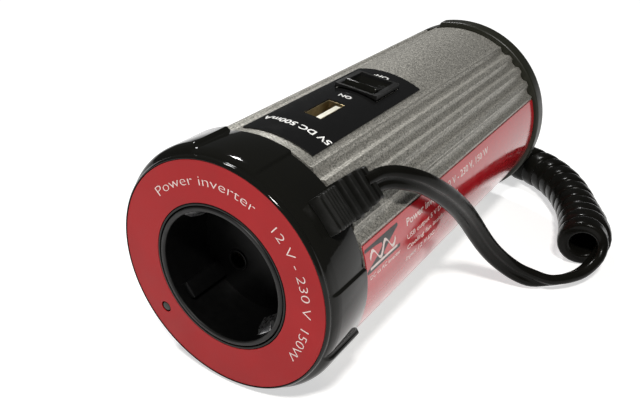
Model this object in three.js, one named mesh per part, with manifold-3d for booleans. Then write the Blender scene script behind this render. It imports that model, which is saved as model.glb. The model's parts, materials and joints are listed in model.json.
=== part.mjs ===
// A 12 V to 230 V power inverter in a can-shaped aluminium housing, lying on its side.
// The mains socket is in the front end, a USB socket and a rocker switch are in the top, and a fan
// sits behind the rear end. A curly 12 V lead runs from the front collar to a plug for a car's socket.
// Millimetres. +Z is up, the can's axis lies along Y, and the front end faces -Y.
import * as THREE from "three";
import { mergeVertices } from "three/addons/utils/BufferGeometryUtils.js";
import Module from "manifold-3d";

const wasm = await Module();
wasm.setup();

// ---- Driving dimensions ----
const GAP = 0.3; // clearance between pieces that touch
const LENGTH = 161.5; // front rim to rear face
const BODY_R = 35; // smooth lands of the housing
const RIDGE_R = 35.4; // tops of the cooling fins
const GROOVE_R = 34.1; // bottoms of the grooves between fins
const BORE_R = 31.5; // inside of the housing
const PAD_R = 37; // raised pads of both end caps, on which the can lies
const COLLAR_R = 35.8; // front collar between its pads
const RECESS_R = 35.3; // front collar beside the lead's strain relief
const COLLAR_END = 18; // rear edge of the front collar
const REAR_START = 152.3; // front edge of the rear cap
const FOOT_HALF = THREE.MathUtils.degToRad(12); // half the angle of the recess between the two lower pads
const AXIS_HEIGHT = PAD_R * Math.cos(FOOT_HALF); // the can rests on the edges of two pads
const ROLL = THREE.MathUtils.degToRad(7.6); // the can lies turned this far about its axis

// Angles round the can are in degrees, from +X towards +Z, in the can's own frame.
const ROLL_DEG = THREE.MathUtils.radToDeg(ROLL);
const CORNER = 47.35; // middle of the upper right fins, where the lead leaves
const LAND_TOP_HALF = 22.4; // half angle of the smooth lands at the top and the bottom
const LAND_SIDE_HALF = 27.1; // half angle of the smooth lands at the sides
const FINS_PER_CORNER = 4; // grooves between two lands
const PORT_R = 27.5; // circle of the screw ports
const PORT_ANGLES = [45, 135, 225, 315];
const SOCKET_ANGLE = 45; // the line through the two pin holes of the mains socket

const SOCKET_R = 19.45; // mains socket recess, a standard 39 mm
const SOCKET_DEPTH = 17.5;
const SOCKET_WALL = 1.5;
const PIN_SPACING = 19;
const PIN_HOLE_R = 2.6;

const PANEL_START = 22;
const PANEL_END = 85;
const PANEL_HALF = 19.4; // half angle of the black panel
const USB_Y = 45.5;
const USB_LENGTH = 13.2;
const USB_WIDTH = 5.8;
const USB_WALL = 0.35;
const SWITCH_Y = 70;
const SWITCH_TILT = THREE.MathUtils.degToRad(11); // either way from the middle
const SWITCH_PIVOT = 33.4; // height of the rocker's axis above the can's axis
const SWITCH_TOP = 36.3; // top of the switch's frame

const BOARD_TOP = -9; // height of the main board's upper side above the can's axis
const BOARD_THICK = 1.6;

const LEAD_R = 2.5; // the lead is a flat twin, 7 across and 3.5 thick, and its plain tube is between the two
const COIL_R = 10; // outside of the curly part
const PLUG_R = 12; // grip of the 12 V plug

// ---- Materials ----
const material = (color, roughness, metalness = 0) =>
  new THREE.MeshStandardMaterial({ color, roughness, metalness });
const HAMMERED = material(0x8c8b86, 0.45, 0.75);
const BLACK = material(0x151515, 0.32);
const SATIN_BLACK = material(0x1d1d1d, 0.5);
const RUBBER = material(0x181818, 0.6);
const RED = material(0xb0202a, 0.35);
const PANEL = material(0x0c0c0c, 0.12);
const STEEL = material(0xb9bbbd, 0.3, 1);
const BRASS = material(0xc9a45c, 0.35, 1);
const ALUMINIUM = material(0xa9abad, 0.4, 1);
const WHITE = material(0xe9e8e2, 0.5);
const BOARD = material(0x1f6b3a, 0.5);
const FERRITE = material(0x33302e, 0.7);
const COPPER = material(0xb4713d, 0.4, 0.9);
const SLEEVE = material(0x20345c, 0.45);
const LED = material(0x5c7a52, 0.15);
const GLASS = material(0xd7dcdc, 0.1);

// ---- Solids ----
const rad = THREE.MathUtils.degToRad;

// A three.js geometry as a manifold-3d solid.
function solid(geometry) {
  const plain = geometry.clone();
  plain.deleteAttribute("normal");
  plain.deleteAttribute("uv");
  const merged = mergeVertices(plain, 1e-4);
  return new wasm.Manifold(
    new wasm.Mesh({
      numProp: 3,
      vertProperties: merged.attributes.position.array,
      triVerts: new Uint32Array(merged.index.array),
    }),
  );
}

// A manifold-3d solid as a flat-shaded three.js geometry.
function geometryOf(body) {
  const mesh = body.getMesh();
  const indexed = new THREE.BufferGeometry()
    .setAttribute("position", new THREE.BufferAttribute(mesh.vertProperties, 3))
    .setIndex(new THREE.BufferAttribute(mesh.triVerts, 1));
  const flat = indexed.toNonIndexed();
  flat.computeVertexNormals();
  return flat;
}

const join = (...bodies) => bodies.reduce((sum, body) => sum.add(body));
const cut = (body, ...tools) => tools.reduce((rest, tool) => rest.subtract(tool), body);

// A box from its lowest to its highest corner.
function box(x0, x1, y0, y1, z0, z1) {
  const geometry = new THREE.BoxGeometry(x1 - x0, y1 - y0, z1 - z0);
  return solid(geometry.translate((x0 + x1) / 2, (y0 + y1) / 2, (z0 + z1) / 2));
}

// A solid turned about the Y axis. The profile's points are [radius, y], anticlockwise when radius
// runs to the right and y runs up, and they close on themselves or start and end on the axis.
function turned(profile, segments = 56) {
  const points = profile.map(([r, y]) => new THREE.Vector2(r, y));
  if (profile[0][0] > 0) points.push(points[0].clone());
  return solid(new THREE.LatheGeometry(points, segments));
}

// A plain tube or, with no inner radius, a rod, along Y.
function tube(outer, inner, y0, y1, segments = 56) {
  const section = inner > 0
    ? [[inner, y0], [outer, y0], [outer, y1], [inner, y1]]
    : [[0, y0], [outer, y0], [outer, y1], [0, y1]];
  return turned(section, segments);
}

// A shape drawn in the XZ plane, carried along Y from y0 to y1.
function alongY(shape, y0, y1) {
  const geometry = new THREE.ExtrudeGeometry(shape, {
    depth: y1 - y0,
    bevelEnabled: false,
    curveSegments: 1,
  });
  return solid(geometry.rotateX(Math.PI / 2).translate(0, y1, 0));
}

// A shape drawn in the YZ plane, carried along X from x0 to x1.
function alongX(shape, x0, x1) {
  const geometry = new THREE.ExtrudeGeometry(shape, {
    depth: x1 - x0,
    bevelEnabled: false,
    curveSegments: 1,
  });
  return solid(geometry.rotateY(Math.PI / 2).rotateX(Math.PI / 2).translate(x0, 0, 0));
}

const polar = (r, degrees) => [r * Math.cos(rad(degrees)), r * Math.sin(rad(degrees))];
const outline = (points) => new THREE.Shape(points.map(([a, b]) => new THREE.Vector2(a, b)));

// Points along an arc about the origin, its two ends included.
function arc(r, from, to, steps) {
  return Array.from({ length: steps + 1 }, (_, i) => polar(r, from + ((to - from) * i) / steps));
}

// A piece of a tube wall between two angles.
function sector(r0, r1, from, to, y0, y1, step = 5) {
  const steps = Math.max(1, Math.round((to - from) / step));
  return alongY(outline([...arc(r1, from, to, steps), ...arc(r0, to, from, steps)]), y0, y1);
}

// A rod along Y whose axis is r from the can's axis, at an angle round it.
function rodAt(r, degrees, radius, y0, y1, segments = 16) {
  const [x, z] = polar(r, degrees);
  return tube(radius, 0, y0, y1, segments).translate([x, 0, z]);
}

// A rod along Z.
function post(x, y, radius, z0, z1, segments = 24) {
  return tube(radius, 0, z0, z1, segments).rotate([90, 0, 0]).translate([x, y, 0]);
}

// A flat box that faces outwards at an angle round the can: s across, r outwards.
function padAt(degrees, s0, s1, y0, y1, r0, r1) {
  return box(r0, r1, y0, y1, s0, s1).rotate([0, -degrees, 0]);
}

// ---- Scene graph ----
const inverter = new THREE.Group();
const can = new THREE.Group();
can.rotation.y = ROLL;
can.position.set(0, -LENGTH / 2, AXIS_HEIGHT);
inverter.add(can);

function add(parent, name, body, look) {
  const mesh = new THREE.Mesh(geometryOf(body), look);
  mesh.name = name;
  parent.add(mesh);
  return mesh;
}

// ---- End caps ----
// The front cap has raised pads, with a recess straight below the axis and its mirror image about the
// line through the strain relief, so the can rests on two edges and doesn't roll. The rear cap has the
// same recess below, and is flush with the housing on its upper left.
const FOOT_ANGLE = 270 + ROLL_DEG;
const MIRRORED_FOOT = 2 * (CORNER + 180) - FOOT_ANGLE;
const FOOT_DEG = THREE.MathUtils.radToDeg(FOOT_HALF);
const PAD_EDGE = 63.75; // from the strain relief's line to the first pad, either way
const PADS = [
  [CORNER + PAD_EDGE, MIRRORED_FOOT - FOOT_DEG],
  [MIRRORED_FOOT + FOOT_DEG, FOOT_ANGLE - FOOT_DEG],
  [FOOT_ANGLE + FOOT_DEG, CORNER + 360 - PAD_EDGE],
];
const RECESS_HALF = 30;
const PLATE_FRONT = 0.6; // face of the front plate, under the red label
const PLATE_BACK = 3.2;
const HOLE_R = 21.25; // hole in the front plate for the socket insert
const LIP_R = 21.85; // raised lip round that hole
const RIM_R = 34.9;
const LABEL_SEAT_R = 34.15;
const SPIGOT_R = BORE_R - GAP;
const SPIGOT_WALL = 1.9;
const LED_R = 27.7;
const LED_ANGLE = 227;
const BOSS_R = 3.4;
const SCREW_R = 1.4;
const SCREW_HEAD_R = 2.7;

// The strain relief stands in this frame: s across it, r outwards from the can's axis.
const RELIEF_HALF = 5.2;
const RELIEF_START = 8;
const RELIEF_BLOCK_END = 15;
const RELIEF_END = 28.6;
const RELIEF_TOP = 39.8;
const RELIEF_FOOT_HALF = 3.6;

function frontCap() {
  const base = turned([
    [HOLE_R, 0.1], [LIP_R, 0.1], [LIP_R, PLATE_FRONT], [LABEL_SEAT_R, PLATE_FRONT],
    [LABEL_SEAT_R, 0], [34.6, 0], [RIM_R, 0.35], [RIM_R, 1.3], [34.7, 1.5], [34.7, 1.8],
    [35, 2.1], [35.35, 2.8], [35.65, 3.8], [COLLAR_R, 5], [COLLAR_R, COLLAR_END],
    [SPIGOT_R, COLLAR_END], [SPIGOT_R, 26], [SPIGOT_R - SPIGOT_WALL, 26],
    [SPIGOT_R - SPIGOT_WALL, 20], [32.4, 16.4], [32.4, PLATE_BACK], [HOLE_R, PLATE_BACK],
  ]);
  const padRing = turned([
    [34.2, 2.2], [35.3, 2.4], [36.1, 2.9], [36.7, 3.8], [PAD_R, 5], [PAD_R, COLLAR_END], [34.2, COLLAR_END],
  ]);
  const pads = PADS.map(([from, to]) => padRing.intersect(sector(33, 38, from, to, 1, 19, 8)));
  const bosses = PORT_ANGLES.filter((a) => a !== 225).map((a) => rodAt(PORT_R, a, BOSS_R, 2, 27.7, 16));
  const screwHoles = PORT_ANGLES.filter((a) => a !== 225).flatMap((a) => [
    rodAt(PORT_R, a, SCREW_R + GAP, 0, 30),
    rodAt(PORT_R, a, SCREW_HEAD_R + GAP, -1, 2.7),
  ]);
  return cut(
    join(base, ...pads, ...bosses),
    sector(RECESS_R, 40, CORNER - RECESS_HALF, CORNER + RECESS_HALF, 3.8, 20, 4),
    padAt(CORNER, -RELIEF_FOOT_HALF - GAP, RELIEF_FOOT_HALF + GAP, 9, 14, 30, 40),
    rodAt(LED_R, LED_ANGLE, 1.8, -1, 10),
    ...screwHoles,
  );
}

function socketCup() {
  const outer = SOCKET_R + SOCKET_WALL;
  const floor = SOCKET_DEPTH + 3;
  const cup = turned([
    [0, SOCKET_DEPTH], [SOCKET_R, SOCKET_DEPTH], [SOCKET_R, 0.4], [SOCKET_R + 0.4, 0],
    [outer - 0.3, 0], [outer, 0.3], [outer, floor], [15.5, floor], [15.5, 33], [0, 33],
  ], 60);
  const keys = [0, 180].map((turn) =>
    padAt(SOCKET_ANGLE + turn, -2.6, 2.6, 3, floor - 1, SOCKET_R - 2.2, SOCKET_R + 0.5));
  const pins = [0, 180].flatMap((turn) => [
    rodAt(PIN_SPACING / 2, SOCKET_ANGLE + turn, PIN_HOLE_R, 10, 34, 28),
    rodAt(PIN_SPACING / 2, SOCKET_ANGLE + turn, 3.7, floor, 34, 28),
  ]);
  const clipSlots = [90, 270].map((turn) =>
    padAt(SOCKET_ANGLE + turn, -3.3, 3.3, 3.2, 16.7, SOCKET_R - 1, SOCKET_R + 0.9));
  return cut(join(cup, ...keys), ...pins, ...clipSlots);
}

// A sprung earth strip in the socket's wall: it bows inwards towards the plug.
function earthClip(turn) {
  const bow = outline([
    [3.6, SOCKET_R - 0.1], [5.2, SOCKET_R - 1.6], [8.6, SOCKET_R - 2.6], [12, SOCKET_R - 1.6],
    [16.3, SOCKET_R - 0.1], [16.3, SOCKET_R + 0.6], [3.6, SOCKET_R + 0.6],
  ]);
  return alongX(bow, -2.7, 2.7).rotate([0, 90 - (SOCKET_ANGLE + turn), 0]);
}

// A sleeve contact behind a pin hole, slit along one side so that it springs.
function sleeveContact(turn) {
  const sleeve = tube(3.3, PIN_HOLE_R - 0.3, 20.9, 32.5, 28);
  const slit = box(-0.4, 0.4, 20, 34, 0, 5);
  const [x, z] = polar(PIN_SPACING / 2, SOCKET_ANGLE + turn);
  return cut(sleeve, slit).translate([x, 0, z]);
}

const VENT_SLOTS = 18;
const REAR_WALL = 2.3;

function rearCap() {
  const end = LENGTH;
  const base = turned([
    [0, end - REAR_WALL], [33.6, end - REAR_WALL], [33.6, REAR_START + 2],
    [SPIGOT_R - SPIGOT_WALL, REAR_START + 2], [SPIGOT_R - SPIGOT_WALL, 146], [SPIGOT_R, 146],
    [SPIGOT_R, REAR_START], [36.6, REAR_START], [PAD_R, REAR_START + 0.4], [PAD_R, end - 3.6],
    [36.6, end - 2.2], [35.6, end - 0.9], [34.2, end - 0.2], [32.6, end], [0, end],
  ]);
  const lowered = (r, from, to) => sector(r, 38, from, to, REAR_START - 1, end + 1, 6);
  const foot = lowered(PAD_R - 0.9, FOOT_ANGLE - FOOT_DEG, FOOT_ANGLE + FOOT_DEG);
  const flush = lowered(RECESS_R, CORNER + PAD_EDGE, MIRRORED_FOOT + FOOT_DEG);
  const slots = Array.from({ length: VENT_SLOTS }, (_, i) =>
    padAt(10 + (360 * i) / VENT_SLOTS, -1.1, 1.1, end - 4, end + 1, 8.5, 18.5));
  const bosses = PORT_ANGLES.map((a) => rodAt(PORT_R, a, BOSS_R, 142.3, end - 1));
  const screwHoles = PORT_ANGLES.flatMap((a) => [
    rodAt(PORT_R, a, SCREW_R + GAP, 140, end + 1),
    rodAt(PORT_R, a, SCREW_HEAD_R + GAP, end - 2, end + 1),
  ]);
  return cut(join(base, ...bosses), foot, flush, ...slots, ...screwHoles);
}

// A cross-recessed screw along Y: the head's outer face is at y, and the shank runs towards +Y or -Y.
function capScrew(angle, y, length, way) {
  const shank = rodAt(0, 0, SCREW_R, 1, length, 12);
  const head = rodAt(0, 0, SCREW_HEAD_R, 0, 1.7, 20);
  const recess = join(box(-1.5, 1.5, -1, 0.9, -0.3, 0.3), box(-0.3, 0.3, -1, 0.9, -1.5, 1.5));
  const screw = cut(join(shank, head), recess);
  const [x, z] = polar(PORT_R, angle);
  const facing = way > 0 ? screw : screw.rotate([180, 0, 0]);
  return facing.translate([x, y, z]);
}

add(can, "front_cap", frontCap(), BLACK);
add(can, "socket_cup", socketCup(), SATIN_BLACK);
[90, 270].forEach((turn, i) => add(can, `earth_clip_${i + 1}`, earthClip(turn), STEEL));
[0, 180].forEach((turn, i) => add(can, `socket_contact_${i + 1}`, sleeveContact(turn), BRASS));
add(can, "rear_cap", rearCap(), BLACK);
PORT_ANGLES.filter((a) => a !== 225).forEach((angle, i) =>
  add(can, `front_screw_${i + 1}`, capScrew(angle, 0.9, 38, 1), STEEL));
PORT_ANGLES.forEach((angle, i) =>
  add(can, `rear_screw_${i + 1}`, capScrew(angle, LENGTH - 0.2, 30, -1), STEEL));

// ---- Housing ----
const SHELL_START = COLLAR_END + GAP;
const SHELL_END = REAR_START - GAP;
const FIN_SLOPE = 1.9; // degrees that a fin's side takes
const PORT_START = 28.3;
const PORT_END = 142;
const RAIL_X = 27.6;

// The outline of one corner's fins: ridges between FINS_PER_CORNER grooves, from one land to the next.
function finOutline(from, to) {
  const pitch = (to - from) / FINS_PER_CORNER;
  return Array.from({ length: FINS_PER_CORNER }, (_, i) => {
    const start = from + pitch * i;
    const end = start + pitch;
    const middle = (start + end) / 2;
    return [
      polar(RIDGE_R, start + pitch * 0.14),
      polar(GROOVE_R + 0.15, start + pitch * 0.14 + FIN_SLOPE),
      polar(GROOVE_R, middle),
      polar(GROOVE_R + 0.15, end - pitch * 0.14 - FIN_SLOPE),
      polar(RIDGE_R, end - pitch * 0.14),
    ];
  }).flat();
}

// Where the lands start and end, anticlockwise from the right-hand land.
const LANDS = [0, 90, 180, 270].map((middle) => {
  const half = middle % 180 === 0 ? LAND_SIDE_HALF : LAND_TOP_HALF;
  return [middle - half, middle + half];
});

function bodyShell() {
  const points = LANDS.flatMap(([from, to], i) => {
    const next = i < 3 ? LANDS[i + 1][0] : LANDS[0][0] + 360;
    return [...arc(BODY_R, from, to, 8), ...finOutline(to, next)];
  });
  const section = outline(points);
  section.holes.push(outline(arc(BORE_R, 360, 0, 64).slice(0, 64)));
  const ports = PORT_ANGLES.map((a) => rodAt(PORT_R, a, BOSS_R, PORT_START, PORT_END));
  const webs = PORT_ANGLES.map((a) => padAt(a, -1.6, 1.6, PORT_START, PORT_END, PORT_R, BORE_R + 0.5));
  const portHoles = PORT_ANGLES.map((a) =>
    rodAt(PORT_R, a, SCREW_R + 0.25, PORT_START - 1, PORT_END + 1, 12));
  const rails = [-1, 1].flatMap((side) => [BOARD_TOP + GAP, BOARD_TOP - BOARD_THICK - GAP - 1.2].map((z) => {
    const [x0, x1] = [side * RAIL_X, side * (BORE_R - 0.2)].sort((a, b) => a - b);
    return box(x0, x1, PORT_START, PORT_END, z, z + 1.2);
  }));
  return cut(
    join(alongY(section, SHELL_START, SHELL_END), ...webs, ...ports, ...rails),
    ...portHoles,
    box(-USB_WIDTH / 2 - GAP, USB_WIDTH / 2 + GAP, USB_Y - 6.9, USB_Y + 6.9, 25, 40),
    box(-6.9, 6.9, SWITCH_Y - 7, SWITCH_Y + 7, 25, 40),
  );
}

// A label of printed film wrapped round the housing.
function skin(from, to, y0, y1) {
  return sector(BODY_R + 0.06, BODY_R + 0.42, from, to, y0, y1, 3);
}

function panelLabel() {
  return cut(
    skin(90 - PANEL_HALF, 90 + PANEL_HALF, PANEL_START, PANEL_END),
    box(-USB_WIDTH / 2 - GAP, USB_WIDTH / 2 + GAP, USB_Y - 6.9, USB_Y + 6.9, 25, 40),
    box(-7.8, 7.8, SWITCH_Y - 7.7, SWITCH_Y + 7.7, 25, 40),
  );
}

function frontLabel() {
  return cut(
    tube(LABEL_SEAT_R - 0.2, LIP_R + 0.25, 0.15, 0.5),
    rodAt(LED_R, LED_ANGLE, 1.8, -1, 3),
  );
}

add(can, "body_shell", bodyShell(), HAMMERED);
add(can, "panel_label", panelLabel(), PANEL);
const sideLabel = skin(-LAND_SIDE_HALF + 1, LAND_SIDE_HALF - 0.3, SHELL_START + 0.2, SHELL_END - 0.2);
add(can, "side_label", sideLabel, RED);
add(can, "front_label", frontLabel(), RED);
add(can, "status_led", rodAt(LED_R, LED_ANGLE, 1.5, 0.3, 11, 16), LED);

// ---- USB socket ----
const USB_FLOOR = 21.4;
const USB_MOUTH = 35.1;

function usbBlock(inset, floor, top) {
  const half = USB_LENGTH / 2 - inset;
  const wide = USB_WIDTH / 2 - inset;
  return box(-wide, wide, USB_Y - half, USB_Y + half, floor, top);
}

const usbShell = cut(usbBlock(0, USB_FLOOR, USB_MOUTH), usbBlock(USB_WALL, USB_FLOOR + 3, 40));

const usbTongue = box(0.25, 2.3, USB_Y - 5.6, USB_Y + 5.6, USB_FLOOR + 3.3, USB_MOUTH - 0.5);
const usbBoard = box(-9, 9, USB_Y - 9, USB_Y + 9, USB_FLOOR - 1.9, USB_FLOOR - 0.3);
add(can, "usb_shell", usbShell, BRASS);
add(can, "usb_tongue", usbTongue, WHITE);
add(can, "usb_board", usbBoard, BOARD);

// ---- Rocker switch ----
const ROCKER_R = 6.1; // from the pivot to the rocker's ends
const ROCKER_HALF = 5.6; // half its width across the can

function switchFrame() {
  const flange = cut(
    box(-7.5, 7.5, SWITCH_Y - 7.4, SWITCH_Y + 7.4, 33, SWITCH_TOP),
    tube(BODY_R + 0.75, 0, SWITCH_Y - 9, SWITCH_Y + 9, 120),
  );
  const housing = box(-6.6, 6.6, SWITCH_Y - 6.8, SWITCH_Y + 6.8, 24.5, SWITCH_TOP - 0.4);
  const well = box(-5.9, 5.9, SWITCH_Y - 6.4, SWITCH_Y + 6.4, 26.6, 40);
  const pivotHoles = alongX(outline(arc(1.25, 0, 360, 16).slice(0, 16)), -6.8, 6.8)
    .translate([0, SWITCH_Y, SWITCH_PIVOT]);
  return cut(join(flange, housing), well, pivotHoles);
}

// The rocker in its middle position, about its own pivot: a round underside and a shallow V on top.
function switchRocker() {
  const rise = 32; // degrees from the pivot's level to the ends of the V
  const side = outline([...arc(ROCKER_R, 180 - rise, 360 + rise, 20), [0, 2.3]]);
  const pins = alongX(outline(arc(0.95, 0, 360, 16).slice(0, 16)), -6.4, 6.4);
  return join(alongX(side, -ROCKER_HALF, ROCKER_HALF), pins);
}

add(can, "switch_frame", switchFrame(), SATIN_BLACK);
const rocker = add(can, "switch_rocker", switchRocker(), BLACK);
rocker.position.set(0, SWITCH_Y, SWITCH_PIVOT);
rocker.rotation.x = -SWITCH_TILT; // rests at OFF, with the front end raised
[-1, 1].forEach((side, i) => {
  const blade = box(-3, 3, SWITCH_Y + side * 4 - 0.4, SWITCH_Y + side * 4 + 0.4, 17, 24.2);
  add(can, `switch_terminal_${i + 1}`, blade, BRASS);
});

// ---- Fan ----
const FAN_START = 143.5;
const FAN_END = 153.5;
const FAN_HALF = 20;
const BLADES = 7;

function fanFrame() {
  const corners = 3;
  const shape = new THREE.Shape();
  shape.moveTo(FAN_HALF - corners, -FAN_HALF);
  [0, 90, 180, 270].forEach((turn) => {
    const at = (x, y) => {
      const c = Math.cos(rad(turn));
      const s = Math.sin(rad(turn));
      return new THREE.Vector2(x * c - y * s, x * s + y * c);
    };
    const first = at(FAN_HALF - corners, -FAN_HALF);
    const second = at(FAN_HALF, corners - FAN_HALF);
    shape.lineTo(first.x, first.y);
    shape.lineTo(second.x, second.y);
  });
  const block = alongY(shape, FAN_START, FAN_END).rotate([0, 45, 0]);
  const throat = tube(18.8, 0, FAN_START - 1, FAN_END - 1.4, 48);
  const outlet = tube(18.8, 10.5, FAN_END - 2, FAN_END + 1, 48);
  const spokes = [0, 120, 240].map((turn) => padAt(turn, -1.2, 1.2, FAN_END - 1.4, FAN_END, 8, 19.5));
  return join(cut(block, throat, outlet), ...spokes);
}

function fanRotor() {
  const hub = tube(9.8, 0, FAN_START + 0.4, FAN_END - 2, 32);
  const blades = Array.from({ length: BLADES }, (_, i) => {
    const blade = box(9, 18, -3.6, 3.6, -0.5, 0.5).rotate([38, 0, 0]);
    return blade.translate([0, (FAN_START + FAN_END) / 2 - 0.8, 0]).rotate([0, (360 * i) / BLADES, 0]);
  });
  return join(hub, ...blades);
}

add(can, "fan_frame", fanFrame(), SATIN_BLACK);
add(can, "fan_rotor", fanRotor(), SATIN_BLACK);

// ---- Electronics ----
const PART_BASE = BOARD_TOP + GAP; // undersides of what stands on the main board
const mainBoard = box(-29.2, 29.2, 40, 138, BOARD_TOP - BOARD_THICK, BOARD_TOP);
add(can, "main_board", mainBoard, BOARD);

const TRAFO_Y = 104;
function transformerCore() {
  const windows = [-1, 1].map((side) =>
    box(Math.min(side * 4, side * 9), Math.max(side * 4, side * 9), 90, 120, -5.4, 12.4));
  return cut(box(-15, 15, TRAFO_Y - 8, TRAFO_Y + 8, PART_BASE, 16), ...windows);
}
function transformerWinding() {
  const outer = box(-8.7, 8.7, TRAFO_Y - 14, TRAFO_Y + 14, -5, 12);
  return cut(outer, box(-4.3, 4.3, TRAFO_Y - 8.3, TRAFO_Y + 8.3, -6, 13));
}
add(can, "transformer_core", transformerCore(), FERRITE);
add(can, "transformer_winding", transformerWinding(), COPPER);

[-14, 14].forEach((x, i) => add(can, `input_capacitor_${i + 1}`, post(x, 52, 6.25, PART_BASE, 11), SLEEVE));
add(can, "output_capacitor", post(0, 128.5, 8, PART_BASE, 15), SLEEVE);
add(can, "board_fuse", box(-5, 5, 57, 61, PART_BASE, 3), COPPER);
add(can, "control_chip", box(13, 19, 122, 132, PART_BASE, PART_BASE + 2), FERRITE);
const choke = turned([[4.6, -3.4], [11, -3.4], [11, 3.4], [4.6, 3.4]], 32)
  .rotate([90, 0, 0]).translate([0, 76, PART_BASE + 3.4]);
add(can, "input_choke", choke, COPPER);

[-1, 1].forEach((side, i) => {
  const bar = side > 0 ? box(21.6, 25, 62, 122, PART_BASE, 8) : box(-25, -21.6, 62, 122, PART_BASE, 8);
  add(can, `heat_bar_${i + 1}`, bar, ALUMINIUM);
  [70, 86].forEach((y, j) => {
    const [x0, x1] = side > 0 ? [16.8, 21.3] : [-21.3, -16.8];
    const block = box(x0, x1, y - 5, y + 5, -5, 9);
    const legs = box(x0 + 1.5, x1 - 1.5, y - 3, y + 3, PART_BASE, -4);
    add(can, `power_transistor_${2 * i + j + 1}`, join(block, legs), FERRITE);
  });
});

// ---- 12 V lead ----
// Its strain relief: a block that is keyed into the collar, then a ribbed, bending sleeve.
function strainRelief() {
  const block = join(
    padAt(CORNER, -RELIEF_HALF, RELIEF_HALF, RELIEF_START + 1, RELIEF_BLOCK_END, 34, RELIEF_TOP),
    padAt(CORNER, -RELIEF_HALF, RELIEF_HALF, RELIEF_START, RELIEF_BLOCK_END, 34, RELIEF_TOP - 1),
  );
  const foot = padAt(CORNER, -RELIEF_FOOT_HALF, RELIEF_FOOT_HALF, 9.3, 13.7, 30.5, 36);
  const neck = padAt(CORNER, -4, 4, RELIEF_BLOCK_END - 1, RELIEF_END - 0.8, 36, 39.2);
  const ribs = [16.6, 20.6, 24.4].map((y, i) =>
    padAt(CORNER, -5.6 + i * 0.2, 5.6 - i * 0.2, y, y + 2.6, 35.8, RELIEF_TOP - i * 0.1));
  const tip = padAt(CORNER, -4.5, 4.5, RELIEF_END - 1.2, RELIEF_END, 35.8, 39.6);
  const below = tube(RECESS_R + GAP, 0, 0, SHELL_START + 10, 120);
  return join(cut(join(block, neck, ...ribs, tip), below), foot);
}
add(can, "cord_strain_relief", strainRelief(), RUBBER);

// A tube of round section along points chosen by hand.
function cordTube(points, radius, sides, steps) {
  const path = new THREE.CatmullRomCurve3(points.map((p) => new THREE.Vector3(...p)), false, "centripetal");
  const section = outline(arc(radius, 0, 360, sides).slice(0, sides));
  return solid(new THREE.ExtrudeGeometry(section, { extrudePath: path, steps, curveSegments: 1 }));
}

const LEAD = [
  [29.9, -51.6, 60.6], [30.6, -48.2, 60.7], [32.5, -44.4, 60.2], [35.1, -40.8, 58.9], [37, -36.8, 56.8],
  [38.5, -32, 53.5], [39.6, -26.2, 49.2], [40.5, -20.1, 44.2], [41.2, -13.4, 38.2], [41.9, -7.4, 31.9],
  [43, -2.2, 25.4], [44.7, 2.4, 19.2], [47.1, 6.4, 13.8], [50.2, 9.8, 9.4], [54, 12.3, 6.2],
  [58.4, 14.4, 4.4], [62.8, 16.9, 3.7], [66.8, 20.4, 3.6], [70.2, 25, 3.6], [73, 30, 3.6], [74.8, 35.6, 3.8],
];
const COIL = [
  [69.5, 36.3, 10], [65.8, 49.2, 10], [61, 61.2, 10], [55, 73.2, 10], [47.5, 84.2, 10], [38.5, 92.7, 10],
  [28, 98.2, 10], [16, 100.7, 10], [3, 101.2, 10], [-10, 100.5, 10], [-23, 98, 10], [-35, 92.5, 10],
  [-45, 84, 10], [-51.5, 73, 10],
];
const TAIL = [
  [-56.4, 73.4, 3.7], [-56.8, 68, 3.6], [-56, 62.6, 4.4], [-54.2, 57.6, 7.2], [-52.6, 52.6, 10.6],
  [-52, 47.6, 12], [-52, 45.6, 12],
];
add(inverter, "cord_lead", cordTube(LEAD, LEAD_R, 8, 44), RUBBER);
add(inverter, "cord_coil", cordTube(COIL, COIL_R - 0.01, 12, 24), RUBBER);
add(inverter, "cord_tail", cordTube(TAIL, LEAD_R, 8, 12), RUBBER);

// ---- 12 V plug ----
// Turned about its own Y axis, from the lead's end at 0 to the tip.
const plug = new THREE.Group();
plug.rotation.z = Math.PI;
plug.position.set(-52, 45.3, PLUG_R);
inverter.add(plug);

const NOSE_R = 10.3;
const NOSE_END = 80;
const PLUG_BORE = 5.2;
const CONTACT_Y = [61, 77];

function plugBoot() {
  const ribs = [2.2, 5.4, 8.6].flatMap((y) => [[5.6, y], [5.6, y + 1.8], [4.8, y + 1.8], [4.8, y + 3.2]]);
  return turned([[0, 0], [4.8, 0], [4.8, 2.2], ...ribs, [6.4, 12.2], [6.4, 14], [0, 14]], 20);
}

function plugBody() {
  const body = turned([
    [0, 14.3], [7.4, 14.3], [9.6, 17], [11.2, 22], [PLUG_R, 28], [PLUG_R, 50], [11.4, 53.5],
    [NOSE_R, 55.5], [NOSE_R, NOSE_END - 1], [NOSE_R - 1, NOSE_END], [PLUG_BORE, NOSE_END],
    [PLUG_BORE, 36], [0, 36],
  ], 28);
  const grooves = [32, 36, 40, 44].map((y) => tube(PLUG_R + 1, PLUG_R - 0.7, y, y + 1.6, 28));
  const slots = [1, -1].map((side) => {
    const [x0, x1] = side > 0 ? [6.3, 13] : [-13, -6.3];
    return box(x0, x1, CONTACT_Y[0], CONTACT_Y[1], -2.6, 2.6);
  });
  return cut(body, ...grooves, ...slots);
}

// The nut that holds the tip: knurled metal with a bore for it.
function plugNut() {
  return turned([[4.4, NOSE_END + 0.3], [8.8, NOSE_END + 0.3], [8.8, 83], [7.2, 86], [4.4, 86]], 32);
}

// The sprung centre contact, with a flange that stops it behind the nut.
function plugTip() {
  return turned([
    [0, 77.5], [4.7, 77.5], [4.7, 79.9], [4, 79.9], [4, 88.4], [3.2, 90.2], [1.8, 91], [0, 91],
  ], 28);
}

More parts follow.
